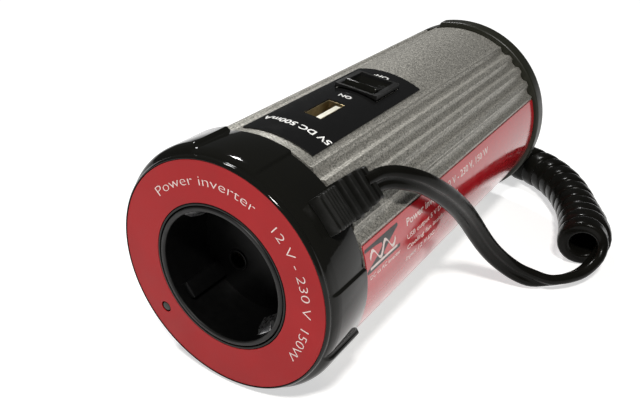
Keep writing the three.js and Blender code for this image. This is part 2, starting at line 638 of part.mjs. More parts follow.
// A side contact: a bowed leaf that is pressed inwards when the plug goes into its socket.
function sideContact(side) {
  const leaf = outline([
    [CONTACT_Y[0] + 0.4, 8.4], [CONTACT_Y[1] - 0.4, 8.4], [CONTACT_Y[1] - 0.4, 9.4], [CONTACT_Y[1] - 3, 10.8],
    [CONTACT_Y[0] + 8, 11.6], [CONTACT_Y[0] + 3, 10.8], [CONTACT_Y[0] + 0.4, 9.4],
  ]);
  return alongX(leaf, -2.2, 2.2).rotate([0, side > 0 ? 90 : -90, 0]);
}

add(plug, "plug_boot", plugBoot(), RUBBER);
add(plug, "plug_body", plugBody(), SATIN_BLACK);
add(plug, "plug_nut", plugNut(), STEEL);
add(plug, "plug_tip", plugTip(), BRASS);
add(plug, "plug_fuse", tube(3, 0, 40, 70, 20), GLASS);
[1, -1].forEach((side, i) => add(plug, `plug_contact_${i + 1}`, sideContact(side), STEEL));

export default inverter;
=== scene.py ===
# A can-shaped 12 V to 230 V power inverter with a curly lead, lying on its side on a pale floor.
import json
import math

import bmesh
import bpy
import numpy as np
from mathutils import Matrix, Vector

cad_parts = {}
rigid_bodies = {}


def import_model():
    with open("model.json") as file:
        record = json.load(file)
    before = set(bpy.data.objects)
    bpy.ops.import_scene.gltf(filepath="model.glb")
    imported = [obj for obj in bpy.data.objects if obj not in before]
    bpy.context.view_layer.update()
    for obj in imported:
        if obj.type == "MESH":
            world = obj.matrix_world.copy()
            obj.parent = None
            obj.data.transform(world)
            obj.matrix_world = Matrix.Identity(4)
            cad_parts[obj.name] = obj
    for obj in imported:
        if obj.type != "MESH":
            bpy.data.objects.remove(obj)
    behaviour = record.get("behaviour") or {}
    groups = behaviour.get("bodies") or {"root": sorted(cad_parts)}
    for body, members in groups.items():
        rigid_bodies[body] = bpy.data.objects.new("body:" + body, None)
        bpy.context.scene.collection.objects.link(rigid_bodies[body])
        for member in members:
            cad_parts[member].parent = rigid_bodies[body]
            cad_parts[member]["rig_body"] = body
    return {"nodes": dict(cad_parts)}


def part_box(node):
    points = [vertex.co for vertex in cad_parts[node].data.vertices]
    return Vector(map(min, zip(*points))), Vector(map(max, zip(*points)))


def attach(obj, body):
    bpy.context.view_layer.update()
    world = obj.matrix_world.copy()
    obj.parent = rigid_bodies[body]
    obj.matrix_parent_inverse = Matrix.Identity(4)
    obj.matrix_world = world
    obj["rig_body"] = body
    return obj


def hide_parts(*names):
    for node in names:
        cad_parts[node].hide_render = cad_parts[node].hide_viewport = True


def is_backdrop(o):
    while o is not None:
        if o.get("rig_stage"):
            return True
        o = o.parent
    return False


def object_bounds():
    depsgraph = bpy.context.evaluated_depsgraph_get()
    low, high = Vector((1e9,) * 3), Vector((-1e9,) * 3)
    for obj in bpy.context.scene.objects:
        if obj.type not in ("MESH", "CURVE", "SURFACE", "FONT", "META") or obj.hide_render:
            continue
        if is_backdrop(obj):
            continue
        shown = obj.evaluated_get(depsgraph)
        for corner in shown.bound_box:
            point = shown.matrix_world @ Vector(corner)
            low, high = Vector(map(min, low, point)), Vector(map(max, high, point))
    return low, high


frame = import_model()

CAD_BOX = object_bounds()

# ---- Frames and sizes ----
# Pieces of the can are drawn in millimetres in the can's own frame, where the axis runs along +Y from
# the front rim at y = 0, and angles are in degrees from +X towards +Z.
MM = 0.001
ROLL = math.radians(7.6)
label_low, label_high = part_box("front_label")
AXIS = (label_low + label_high) / 2
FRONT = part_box("front_cap")[0].y
CAN = Matrix.Translation((AXIS.x, FRONT, AXIS.z)) @ Matrix.Rotation(ROLL, 4, "Y") @ Matrix.Scale(MM, 4)
PART = Matrix.Scale(MM, 4)

LENGTH = (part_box("rear_cap")[1].y - FRONT) / MM
BODY_R = 35
RIDGE_R = 35.4
GROOVE_R = 34.1
BORE_R = 31.5
PAD_R = 37
COLLAR_R = 35.8
RECESS_R = 35.3
FOOT_R = 36.1
COLLAR_END = 18
REAR_START = 152.3
CORNER = 47.35  # the lead's side of the can
FOOT_ANGLE = 270 + math.degrees(ROLL)
FOOT_HALF = 12
MIRRORED_FOOT = 2 * (CORNER + 180) - FOOT_ANGLE
PAD_EDGE = 63.75
RECESS_HALF = 30
SOCKET_R = 19.45
SOCKET_DEPTH = 17.5
SOCKET_ANGLE = 45
PIN_SPACING = 19
PIN_HOLE_R = 2.6
LED_R = 27.7
LED_ANGLE = 227
LED_HOLE_R = 1.8
PORT_R = 27.5
PORT_ANGLES = (45, 135, 225, 315)
SCREW_HOLE_R = 3
LABEL_FACE = 0.15
PANEL = (22, 85)
PANEL_HALF = 19.4
USB_Y = 45.5
SWITCH_Y = 70
CUT_PAST = 1  # how far a cutter goes past the face that it opens
ROUND_STEP = 2.5  # degrees between the sides of a turned piece


def placed(name, data):
    """A new object, linked to the scene."""
    made = bpy.data.objects.new(name, data)
    bpy.context.scene.collection.objects.link(made)
    return made


# ---- Camera ----
CAMERA_AT = (0.11125, -0.20221, 0.14465)
CAMERA_RIGHT = Vector((0.8389, 0.5443, 0))
CAMERA_UP = Vector((-0.2516, 0.3878, 0.8868))
SENSOR_WIDTH = 36
FOCAL_LENGTH = 40.81
CLIP_START = 0.01


def make_camera():
    data = bpy.data.cameras.new("camera")
    data.sensor_width = SENSOR_WIDTH
    data.lens = FOCAL_LENGTH
    data.clip_start = CLIP_START
    camera = placed("camera", data)
    axes = Matrix((CAMERA_RIGHT, CAMERA_UP, CAMERA_RIGHT.cross(CAMERA_UP))).transposed().to_4x4()
    camera.matrix_world = Matrix.Translation(CAMERA_AT) @ axes
    bpy.context.scene.camera = camera


# ---- Mesh helpers ----
SHARP_ANGLE = 40
BEVEL_ANGLE = 38  # edges that turn by less aren't rounded


def mesh_object(name, vertices, faces, look, matrix, sharp, weld=True):
    """An object of a closed mesh, smooth but for edges sharper than an angle in degrees."""
    mesh = bpy.data.meshes.new(name)
    mesh.from_pydata([tuple(v) for v in vertices], [], [tuple(f) for f in faces])
    bm = bmesh.new()
    bm.from_mesh(mesh)
    if weld:
        bmesh.ops.remove_doubles(bm, verts=bm.verts, dist=1e-4)
    bmesh.ops.recalc_face_normals(bm, faces=bm.faces)
    bm.to_mesh(mesh)
    bm.free()
    mesh.transform(matrix)
    return finish_object(name, mesh, look, sharp)


def smooth(mesh, sharp):
    """Smooth shading but for edges sharper than an angle in degrees."""
    for face in mesh.polygons:
        face.use_smooth = True
    mesh.set_sharp_from_angle(angle=math.radians(sharp))


def finish_object(name, mesh, look, sharp):
    """An object of a mesh, shaded and in its material."""
    smooth(mesh, sharp)
    mesh.materials.clear()
    mesh.materials.append(look)
    return placed(name, mesh)


def grid_faces(rows, columns, close_rows, close_columns):
    """The faces between the points of a grid, which may close on itself either way."""
    faces = []
    for i in range(rows if close_rows else rows - 1):
        for j in range(columns if close_columns else columns - 1):
            here = i * columns
            below = (i + 1) % rows * columns
            beside = (j + 1) % columns
            faces.append((here + j, here + beside, below + beside, below + j))
    return faces


def polar(r, degrees):
    return r * math.cos(math.radians(degrees)), r * math.sin(math.radians(degrees))


def fillet(points, radius, steps=3, closed=True):
    """A polyline with each corner rounded, always by the same number of points."""
    rounded = []
    count = len(points)
    for i in range(count):
        corner = np.array(points[i], float)
        if not closed and i in (0, count - 1):
            rounded.append(corner)
            continue
        before = np.array(points[i - 1], float) - corner
        after = np.array(points[(i + 1) % count], float) - corner
        near, far = np.linalg.norm(before), np.linalg.norm(after)
        start = corner + before / near * min(radius, 0.45 * near)
        end = corner + after / far * min(radius, 0.45 * far)
        for k in range(steps + 1):
            t = k / steps
            rounded.append((1 - t) ** 2 * start + 2 * t * (1 - t) * corner + t * t * end)
    return rounded


def turned(name, section_at, look, angles=None, matrix=CAN, sharp=SHARP_ANGLE, closed=True):
    """A solid turned about the Y axis: section_at(angle) gives its points [radius, y]."""
    if angles is None:
        angles = np.arange(0, 360, ROUND_STEP)
    vertices = []
    for angle in angles:
        section = section_at(angle)
        for r, y in section:
            x, z = polar(r, angle)
            vertices.append((x, y, z))
    faces = grid_faces(len(angles), len(section), True, closed)
    return mesh_object(name, vertices, faces, look, matrix, sharp)


def lofted(name, rings, look, matrix=CAN, sharp=SHARP_ANGLE):
    """A solid through closed rings of equally many points, with flat ends."""
    count = len(rings[0])
    vertices = [v for ring in rings for v in ring]
    faces = grid_faces(len(rings), count, False, True)
    faces.append(tuple(range(count)))
    last = (len(rings) - 1) * count
    faces.append(tuple(last + i for i in reversed(range(count))))
    return mesh_object(name, vertices, faces, look, matrix, sharp, weld=False)


def prism(outline, y0, y1, name="cutter", look=None, matrix=CAN):
    """An outline of points [x, z], drawn out along Y."""
    return lofted(name, [[(a, y, b) for a, b in outline] for y in (y0, y1)], look, matrix)


def rod(radius, y0, y1, x=0.0, z=0.0, sides=96):
    return prism(circle(radius, x, z, sides), y0, y1)


def upright_box(x0, x1, y0, y1, z0, z1, name="cutter", look=None, matrix=CAN):
    return prism([(x0, z0), (x1, z0), (x1, z1), (x0, z1)], y0, y1, name, look, matrix)


def at_angle(points, angle):
    """Points given outwards and sideways, turned to an angle round the can."""
    cos, sin = math.cos(math.radians(angle)), math.sin(math.radians(angle))
    return [(a * cos - b * sin, a * sin + b * cos) for a, b in points]


def radial_box(angle, width, r0, r1, y0, y1, name="cutter", look=None):
    """A box that faces outwards at an angle round the can."""
    corners = [(r0, -width / 2), (r1, -width / 2), (r1, width / 2), (r0, width / 2)]
    return prism(at_angle(corners, angle), y0, y1, name, look)


def radial_slot(angle, inner, outer, width, y0, y1):
    """A radial slot with round ends, cut along Y."""
    half = width / 2
    outline = [(outer - half + a, b) for a, b in (polar(half, t) for t in range(-90, 91, 18))]
    outline += [(inner + half + a, b) for a, b in (polar(half, t) for t in range(90, 271, 18))]
    return prism(at_angle(outline, angle), y0, y1)


def circle(radius, x=0.0, y=0.0, sides=96):
    return [(x + a, y + b) for a, b in (polar(radius, 360 * i / sides) for i in range(sides))]


def baked(piece):
    """Applies a piece's modifiers to its mesh."""
    bpy.context.view_layer.update()
    evaluated = piece.evaluated_get(bpy.context.evaluated_depsgraph_get())
    mesh = bpy.data.meshes.new_from_object(evaluated)
    piece.modifiers.clear()
    piece.data = mesh


def carve(piece, cutters, sharp=SHARP_ANGLE):
    """Cuts solids out of a piece, and removes them."""
    look = piece.data.materials[0]
    for cutter in cutters:
        cut = piece.modifiers.new("cut", "BOOLEAN")
        cut.operation = "DIFFERENCE"
        cut.solver = "EXACT"
        cut.object = cutter
    baked(piece)
    for cutter in cutters:
        bpy.data.objects.remove(cutter)
    piece.data.materials.clear()
    piece.data.materials.append(look)
    for face in piece.data.polygons:
        face.material_index = 0
    smooth(piece.data, sharp)


def soften(piece, width, segments):
    """Rounds a piece's sharp edges."""
    edge = piece.modifiers.new("bevel", "BEVEL")
    edge.width = width * MM
    edge.segments = segments
    edge.limit_method = "ANGLE"
    edge.angle_limit = math.radians(BEVEL_ANGLE)
    baked(piece)
    smooth(piece.data, SHARP_ANGLE)


def refined(node, look, bevel, segments):
    """A copy of a CAD node with rounded edges and smooth shading, in its place."""
    source = frame["nodes"][node]
    bm = bmesh.new()
    bm.from_mesh(source.data)
    bmesh.ops.remove_doubles(bm, verts=bm.verts, dist=2e-6)
    bmesh.ops.dissolve_limit(bm, angle_limit=math.radians(0.6), verts=bm.verts, edges=bm.edges)
    mesh = bpy.data.meshes.new(node + "_fine")
    bm.to_mesh(mesh)
    bm.free()
    piece = finish_object(node + "_fine", mesh, look, SHARP_ANGLE)
    soften(piece, bevel, segments)
    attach(piece, source["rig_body"])
    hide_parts(node)


def stand_in(piece, slot, *nodes, body="inverter"):
    """Attaches a piece to the body that it rides on and hides the CAD nodes that it replaces. Its slot is not used."""
    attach(piece, body)
    if nodes:
        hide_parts(*nodes)
    return piece


# ---- Materials ----
def socket_name(key):
    """The shader socket that a keyword means: specular_ior_level is Specular IOR Level."""
    return key.replace("_", " ").title().replace("Ior", "IOR")


def shader(name, color, roughness, metallic=0.0, **sockets):
    look = bpy.data.materials.new(name)
    look.use_nodes = True
    principled = principled_of(look)
    principled.inputs["Base Color"].default_value = (*color, 1)
    principled.inputs["Roughness"].default_value = roughness
    principled.inputs["Metallic"].default_value = metallic
    for key, value in sockets.items():
        principled.inputs[socket_name(key)].default_value = value
    look.diffuse_color = (*color, 1)
    return look


def node_of(look, kind, **values):
    """A new node of a material, with its sockets or properties set."""
    made = look.node_tree.nodes.new(kind)
    for key, value in values.items():
        if key in made.inputs:
            made.inputs[key].default_value = value
        else:
            setattr(made, key, value)
    return made


def principled_of(look):
    return look.node_tree.nodes["Principled BSDF"]


def place_of(look):
    """Object coordinates, which are the part's metres."""
    found = [n for n in look.node_tree.nodes if n.type == "TEX_COORD"]
    return (found[0] if found else node_of(look, "ShaderNodeTexCoord")).outputs["Object"]


def noise_of(look, scale, detail=3.0, roughness=0.5, stretch=None):
    """Noise whose features are about 1/scale metres across, drawn out by stretch."""
    texture = node_of(look, "ShaderNodeTexNoise", Scale=scale, Detail=detail, Roughness=roughness)
    links = look.node_tree.links
    if stretch:
        mapping = node_of(look, "ShaderNodeMapping", Scale=stretch)
        links.new(place_of(look), mapping.inputs["Vector"])
        links.new(mapping.outputs["Vector"], texture.inputs["Vector"])
    else:
        links.new(place_of(look), texture.inputs["Vector"])
    return texture.outputs["Fac"]


def cells_of(look, scale):
    """Rounded cells, about 1/scale metres across."""
    texture = node_of(look, "ShaderNodeTexVoronoi", Scale=scale, feature="SMOOTH_F1")
    look.node_tree.links.new(place_of(look), texture.inputs["Vector"])
    return texture.outputs["Distance"]


def rough_between(look, value, low, high):
    """A roughness that goes from low to high over the middle of a value's range."""
    spread = node_of(look, "ShaderNodeMapRange")
    for socket, number in (("From Min", 0.3), ("From Max", 0.7), ("To Min", low), ("To Max", high)):
        spread.inputs[socket].default_value = number
    look.node_tree.links.new(value, spread.inputs["Value"])
    look.node_tree.links.new(spread.outputs["Result"], principled_of(look).inputs["Roughness"])


def colour_between(look, value, first, second, start=0.35, end=0.65):
    """A colour that goes from first to second as a value goes from start to end."""
    ramp = node_of(look, "ShaderNodeValToRGB")
    ramp.color_ramp.elements[0].position = start
    ramp.color_ramp.elements[0].color = (*first, 1)
    ramp.color_ramp.elements[1].position = end
    ramp.color_ramp.elements[1].color = (*second, 1)
    look.node_tree.links.new(value, ramp.inputs["Fac"])
    look.node_tree.links.new(ramp.outputs["Color"], principled_of(look).inputs["Base Color"])


def bumped(look, value, depth, strength):
    """Adds relief of a depth in metres, over any relief that is there."""
    bump = node_of(look, "ShaderNodeBump", Strength=strength, Distance=depth)
    links = look.node_tree.links
    normal = principled_of(look).inputs["Normal"]
    if normal.links:
        links.new(normal.links[0].from_socket, bump.inputs["Normal"])
    links.new(value, bump.inputs["Height"])
    links.new(bump.outputs["Normal"], normal)


def hammered_paint():
    look = shader("hammered_paint", (0.3, 0.295, 0.275), 0.42, 0.6)
    flakes = noise_of(look, 1900, roughness=0.8)
    colour_between(look, flakes, (0.13, 0.128, 0.115), (0.62, 0.6, 0.54), 0.36, 0.68)
    rough_between(look, noise_of(look, 900), 0.32, 0.5)
    bumped(look, cells_of(look, 1700), 0.00007, 0.6)
    bumped(look, noise_of(look, 3600), 0.00006, 0.9)
    return look


def gloss_black():
    look = shader("gloss_black", (0.006, 0.006, 0.005), 0.1, specular_ior_level=0.17)
    rough_between(look, noise_of(look, 160, 5.0, 0.65), 0.04, 0.1)
    bumped(look, noise_of(look, 260, 4.0), 0.00002, 0.5)
    bumped(look, noise_of(look, 1500, 2.0, 0.5, (1, 0.05, 1)), 0.000006, 0.4)
    return look


def rear_black():
    """The rear cap's duller, slightly olive black."""
    look = shader("rear_black", (0.013, 0.0135, 0.0085), 0.4, specular_ior_level=0.3)
    rough_between(look, noise_of(look, 180, 5.0, 0.65), 0.3, 0.46)
    bumped(look, noise_of(look, 700), 0.00002, 0.5)
    return look


def satin_black():
    look = shader("satin_black", (0.007, 0.007, 0.0068), 0.42, specular_ior_level=0.25)
    rough_between(look, noise_of(look, 300, 4.0), 0.34, 0.52)
    bumped(look, noise_of(look, 2400, 2.0), 0.00002, 0.5)
    return look


def soft_black(name, color, roughness, specular):
    look = shader(name, color, roughness, specular_ior_level=specular)
    darker = tuple(0.7 * c for c in color)
    colour_between(look, noise_of(look, 90, 4.0), darker, color)
    rough_between(look, noise_of(look, 420, 4.0, 0.6), roughness - 0.08, roughness + 0.1)
    bumped(look, noise_of(look, 900), 0.00003, 0.5)
    return look


def red_film(name, color, specular, roughness):
    look = shader(name, color, 0.3, specular_ior_level=specular)
    darker = tuple(0.88 * c for c in color)
    colour_between(look, noise_of(look, 60, 4.0, 0.6), darker, color)
    rough_between(look, noise_of(look, 240, 4.0, 0.6), roughness - 0.05, roughness + 0.07)
    bumped(look, noise_of(look, 420, 2.0), 0.00002, 0.35)
    return look


def panel_film():
    look = shader("panel_film", (0.006, 0.006, 0.006), 0.1)
    rough_between(look, noise_of(look, 200, 5.0, 0.65), 0.07, 0.2)
    bumped(look, noise_of(look, 240, 2.0), 0.00002, 0.4)
    return look


def bare_metal(name, color, roughness=0.3):
    look = shader(name, color, roughness, 1.0)
    darker = tuple(0.75 * c for c in color)
    colour_between(look, noise_of(look, 500, 4.0, 0.6), darker, color)
    rough_between(look, noise_of(look, 900, 3.0, 0.6, (1, 1, 0.2)), roughness - 0.08, roughness + 0.12)
    bumped(look, noise_of(look, 1800, 2.0, 0.5, (1, 0.15, 1)), 0.00001, 0.4)
    return look


def moulded(name, color, roughness=0.4, **sockets):
    look = shader(name, color, roughness, **sockets)
    darker = tuple(0.85 * c for c in color)
    colour_between(look, noise_of(look, 250, 4.0), darker, color)
    rough_between(look, noise_of(look, 500), roughness - 0.06, roughness + 0.08)
    bumped(look, noise_of(look, 1400, 2.0), 0.00002, 0.4)
    return look


PAINT = hammered_paint()
GLOSS = gloss_black()
REAR = rear_black()
SATIN = satin_black()
SOFT = soft_black("soft_black", (0.007, 0.007, 0.006), 0.45, 0.25)
CORD_BLACK = soft_black("cord_black", (0.0055, 0.0053, 0.0043), 0.2, 0.08)
# The socket's inside is drawn darker than the other black plastics, as painted shade of the deep recess.
SOCKET_SHADE = moulded("socket_painted_shade", (0.002, 0.002, 0.002), 0.35, specular_ior_level=0.15)
RING_RED = red_film("ring_red", (0.32, 0.013, 0.015), 0.14, 0.42)
SIDE_RED = red_film("side_red", (0.42, 0.01, 0.016), 1.0, 0.13)
FILM = panel_film()
STEEL = bare_metal("steel", (0.55, 0.55, 0.56), 0.28)
BRASS = bare_metal("brass", (0.3, 0.23, 0.12), 0.32)
ALUMINIUM = bare_metal("aluminium", (0.6, 0.6, 0.6), 0.4)
COPPER = bare_metal("copper", (0.55, 0.25, 0.1), 0.35)
WHITE = moulded("white_plastic", (0.74, 0.72, 0.62), 0.4)
INK = moulded("pale_ink", (0.72, 0.6, 0.57), 0.45)
WHITE_INK = moulded("white_ink", (0.85, 0.85, 0.83), 0.4)
GREY_INK = moulded("grey_ink", (0.035, 0.035, 0.035), 0.35)
BOARD = moulded("circuit_board", (0.02, 0.12, 0.04), 0.35)
FERRITE = moulded("ferrite", (0.03, 0.03, 0.03), 0.6)
SLEEVE = moulded("capacitor_sleeve", (0.02, 0.04, 0.14), 0.35)
LED = moulded("led_lens", (0.012, 0.015, 0.01), 0.3, specular_ior_level=0.3)
GLASS = moulded("glass", (0.7, 0.74, 0.74), 0.12, transmission_weight=0.7)

# ---- Cord ----
# The lead is a flat twin. The route's points are in millimetres in the part's frame.
LEAD = [
    (29.9, -51.6, 60.6), (30.6, -48.2, 60.7), (32.5, -44.4, 60.2), (35.1, -40.8, 58.9), (37, -36.8, 56.8),
    (38.5, -32, 53.5), (39.6, -26.2, 49.2), (40.5, -20.1, 44.2), (41.2, -13.4, 38.2), (41.9, -7.4, 31.9),
    (43, -2.2, 25.4), (44.7, 2.4, 19.2), (47.1, 6.4, 13.8), (50.2, 9.8, 9.4), (54, 12.3, 6.2),
    (58.4, 14.4, 4.4), (62.8, 16.9, 3.7), (66.8, 20.4, 3.6), (70.2, 25, 3.6), (73, 30, 3.6),
    (74.8, 35.6, 3.8),
]
COIL = [
    (69.5, 36.3, 10), (65.8, 49.2, 10), (61, 61.2, 10), (55, 73.2, 10), (47.5, 84.2, 10), (38.5, 92.7, 10),
    (28, 98.2, 10), (16, 100.7, 10), (3, 101.2, 10), (-10, 100.5, 10), (-23, 98, 10), (-35, 92.5, 10),
    (-45, 84, 10), (-51.5, 73, 10),
]
TAIL = [
    (-56.4, 73.4, 3.7), (-56.8, 68, 3.6), (-56, 62.6, 4.4), (-54.2, 57.6, 7.2), (-52.6, 52.6, 10.6),
    (-52, 47.6, 12), (-52, 45.6, 12),
]
CORD_WIDTH = 7.0
CORD_THICK = 3.6
COIL_THICK = 4.6  # the moulded curly part has a thicker sheath
COIL_R = 9.7
PITCH = 7.15
TURN_STEPS = 26
COIL_TAPER = 1.6  # its turns draw in by this much
COIL_TAPER_LENGTH = 35
COIL_SPACING = 0.5
COIL_FADE = 14  # points of the route over which the flat section and the curly one change over
COIL_FADE_START = 4  # points before the curly part
EXIT_TURN = math.radians(35)  # of the flat lead in its strain relief
TWIST_LENGTH = 26.0
FOLD = (60.3, 15.4, 4.0)  # where the flat lead turns over on the floor, on its way into the coil
FOLD_TURN = math.radians(-50)
FOLD_HALF = 3  # points of the route that the turn takes, either way
POINT_SPACING = 1.6
CURVE_STEPS = 24  # between two points of a route


def ease(share):
    """A smooth step from 0 to 1."""
    share = min(1, max(0, share))
    return share * share * (3 - 2 * share)


def curve_through(points, spacing):
    """Points at an even spacing on a centripetal Catmull-Rom curve."""
    given = [np.array(p, float) for p in points]
    ends = [2 * given[0] - given[1], *given, 2 * given[-1] - given[-2]]
    fine = []
    for a, b, c, d in zip(ends, ends[1:], ends[2:], ends[3:]):
        knots = np.cumsum([0, *(math.sqrt(np.linalg.norm(q - p)) for p, q in ((a, b), (b, c), (c, d)))])
        for t in np.linspace(knots[1], knots[2], CURVE_STEPS, endpoint=False):
            def mix(p, q, i, j):
                span = knots[j] - knots[i]
                return (knots[j] - t) / span * p + (t - knots[i]) / span * q
            ab, bc, cd = mix(a, b, 0, 1), mix(b, c, 1, 2), mix(c, d, 2, 3)
            abc, bcd = mix(ab, bc, 0, 2), mix(bc, cd, 1, 3)
            fine.append(mix(abc, bcd, 1, 2))
    fine.append(given[-1])
    return even(np.array(fine), spacing)


def even(points, spacing):
    """Points on the same line at an even spacing."""
    steps = np.r_[0, np.cumsum(np.linalg.norm(np.diff(points, axis=0), axis=1))]
    count = max(2, round(steps[-1] / spacing) + 1)
    at = np.linspace(0, steps[-1], count)
    return np.stack([np.interp(at, steps, points[:, k]) for k in range(3)], axis=1)


def directions(points):
    """The unit direction of a line at each of its points."""
    ahead = np.gradient(points, axis=0)
    return ahead / np.linalg.norm(ahead, axis=1)[:, None]


def helix():
    """The curly part's centreline, and beside it the direction of the helix's own axis."""
    axis = curve_through(COIL, COIL_SPACING)
    length = COIL_SPACING * (len(axis) - 1)
    first = np.array(LEAD[-1]) - axis[0]
    along = directions(axis)
    side = np.cross(along, (0, 0, 1))
    last = np.array(TAIL[0]) - axis[-1]
    start = math.atan2(first[2], first @ side[0])
    end = math.atan2(last[2], last @ side[-1])
    turns = round(length / PITCH) + (end - start) / (2 * math.pi)
    share = np.linspace(0, 1, round(turns * TURN_STEPS) + 1)
    at = share * (len(axis) - 1)
    index = np.arange(len(axis))
    centre, sideways, forward = (
        np.stack([np.interp(at, index, rows[:, k]) for k in range(3)], axis=1) for rows in (axis, side, along)
    )
    angle = start + 2 * math.pi * turns * share
    around = np.cos(angle)[:, None] * sideways + np.sin(angle)[:, None] * np.array((0, 0, 1))
    outer = COIL_R - COIL_TAPER * np.array([ease(length * part / COIL_TAPER_LENGTH) for part in share])
    centre[:, 2] = outer  # the turns lie on the floor
    return centre + (outer - COIL_THICK / 2)[:, None] * around, forward


def smoothed(points, middle, reach=9, passes=12):
    """Evens out a joint between two stretches of a line, and leaves the rest alone."""
    result = points.copy()
    low, high = max(1, middle - reach), min(len(points) - 1, middle + reach)
    share = np.array([ease(1 - abs(i - middle) / reach) for i in range(low, high)])[:, None]
    for _ in range(passes):
        mean = (result[low - 1:high - 1] + result[low + 1:high + 1]) / 2
        result[low:high] += 0.6 * share * (mean - result[low:high])
    return result


def twin_section():
    """The flat twin's section: two round cores and the web between them, as (across, through)."""
    core = CORD_THICK / 2
    offset = CORD_WIDTH / 2 - core
    right = [polar(core, a) for a in range(-140, 141, 20)]
    return np.array([(offset + a, b) for a, b in right] + [(-offset - a, -b) for a, b in right])


def oval_section():
    """The curly part's smooth section, with as many points as the twin's."""
    right = [polar(1, a) for a in np.linspace(-84, 84, 15)]
    half = [(CORD_WIDTH / 2 * a ** 0.5, COIL_THICK / 2 * math.copysign(abs(b) ** 0.65, b)) for a, b in right]
    return np.array(half + [(-a, -b) for a, b in half])


def squared(vector, direction):
    """A unit vector across a direction, as near as can be to a given vector."""
    flat = vector - (vector @ direction) * direction
    return flat / np.linalg.norm(flat)


def cord_route():
    """The cord's centreline, the direction of its width, and where the curly part starts and ends."""
    lead = curve_through(LEAD, POINT_SPACING)
    tail = curve_through(TAIL, POINT_SPACING)
    coil, forward = helix()
    inside = lead[0] - 3 * directions(lead)[0]  # the lead starts 3 mm inside its strain relief
    points = np.concatenate([[inside], lead[:-3], coil[2:-2], tail[3:]])
    first = 1 + len(lead) - 3
    last = first + len(coil) - 4
    points = smoothed(points, first)
    points = smoothed(points, last)
    ahead = directions(points)
    wide = np.zeros_like(points)
    for i in range(first, last):
        wide[i] = squared(forward[2 + i - first], ahead[i])
    for i in range(first - 1, -1, -1):
        wide[i] = squared(wide[i + 1], ahead[i])
    for i in range(last, len(points)):
        wide[i] = squared(wide[i - 1], ahead[i])
    return points, ahead, wide, first, last


def rolled(across, direction, turn):
    """A vector across a direction, turned about it."""
    return math.cos(turn) * across + math.sin(turn) * np.cross(direction, across)


def folded(points, ahead, wide):
    """Turns the flat lead over, so that it comes down to the floor with its broad side up."""
    middle = int(np.argmin(np.linalg.norm(points - np.array(FOLD), axis=1)))
    for i in range(middle + FOLD_HALF):
        turn = FOLD_TURN * ease((middle + FOLD_HALF - i) / (2 * FOLD_HALF))
        wide[i] = rolled(wide[i], ahead[i], turn)
    return wide


def twisted(ahead, wide):
    """Takes up the twist between the coil and the strain relief in the first bend."""
    side = math.radians(CORNER + 90) - ROLL - EXIT_TURN
    target = squared(np.array((math.cos(side), 0, math.sin(side))), ahead[0])
    twist = math.atan2(target @ np.cross(ahead[0], wide[0]), target @ wide[0])
    twist = (twist + math.pi / 2) % math.pi - math.pi / 2
    for i in range(math.ceil(TWIST_LENGTH / POINT_SPACING)):
        turn = twist * ease(1 - i * POINT_SPACING / TWIST_LENGTH)
        wide[i] = rolled(wide[i], ahead[i], turn)
    return wide


def make_cord():
    """The whole lead as one piece, and its centreline in metres."""
    points, ahead, wide, first, last = cord_route()
    wide = twisted(ahead, folded(points, ahead, wide))
    rings = []
    for i, (point, direction, across) in enumerate(zip(points, ahead, wide)):
        from_first, to_last = i - first + COIL_FADE_START, last + COIL_FADE_START - i
        curly = ease(from_first / COIL_FADE) * ease(to_last / COIL_FADE)
        section = (1 - curly) * twin_section() + curly * oval_section()
        through = np.cross(direction, across)
        rings.append([point + a * across + b * through for a, b in section])
    cord = lofted("cord", rings, CORD_BLACK, PART, sharp=60)
    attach(cord, "inverter")
    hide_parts("cord_lead", "cord_coil", "cord_tail")
    return cord, points * MM


# ---- End caps ----
WALL_HALF = 0.95  # half the angle that the sloped wall beside a pad takes
SPIGOT_R = 31.2  # of the part of a cap that goes into the housing
SPIGOT_BORE_R = 29.3
VENTS = 18


def between(angle, low, high):
    """1 inside a range of angles and 0 outside it, with smooth slopes at both ends."""
    middle = (low + high) / 2
    offset = abs((angle - middle + 180) % 360 - 180)
    return ease(((high - low) / 2 - offset + WALL_HALF) / (2 * WALL_HALF))


PADS = (
    (CORNER + PAD_EDGE, MIRRORED_FOOT - FOOT_HALF),
    (MIRRORED_FOOT + FOOT_HALF, FOOT_ANGLE - FOOT_HALF),
    (FOOT_ANGLE + FOOT_HALF, CORNER + 360 - PAD_EDGE),
)


def wall_angles(walls, spacing=1.5):
    """Angles all the way round, close together where a wall starts or ends."""
    dense = [wall + WALL_HALF * k / 3 for wall in walls for k in range(-4, 5)]
    return np.array(sorted({round(a % 360, 4) for a in [*dense, *np.arange(0, 360, spacing)]}))


